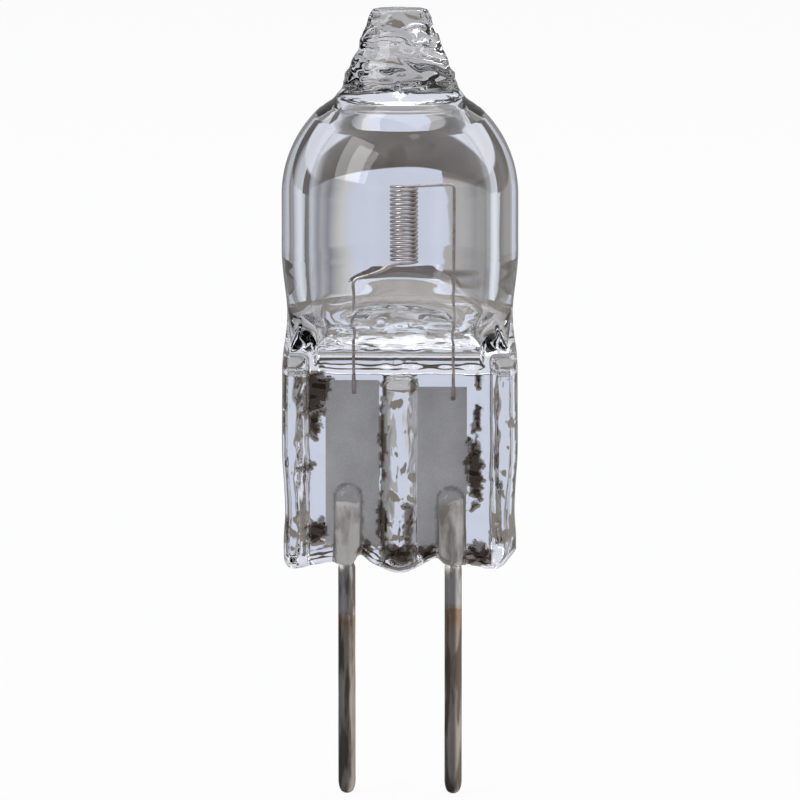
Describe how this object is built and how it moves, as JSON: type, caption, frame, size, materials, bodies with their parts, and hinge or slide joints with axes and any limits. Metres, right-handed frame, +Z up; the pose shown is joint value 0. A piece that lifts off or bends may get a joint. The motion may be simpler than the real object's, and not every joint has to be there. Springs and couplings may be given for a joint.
{
  "type": "halogen capsule bulb",
  "caption": "Low-voltage halogen capsule with a clear quartz bulb, an upright coiled filament, a pressed flat seal with metal foils and a bi-pin base.",
  "frame": {"origin": "lowest point of the glass, midway between the two pins: the plane that seats on the lampholder", "axes": "+Z up the lamp towards its sealed-off tip, +X across the broad faces of the pressed seal, so the pins are in line along X"},
  "size_m": [0.0088, 0.0088, 0.0296],
  "materials": {
    "quartz": "polished",
    "tungsten": "drawn",
    "molybdenum": "matt",
    "pin_metal": "oxidised"
  },
  "bodies": {
    "root": {"glass_envelope": "quartz", "filament": "tungsten", "foil_left": "molybdenum", "foil_right": "molybdenum", "pin_left": "pin_metal", "pin_right": "pin_metal"}
  },
  "joints": []
}
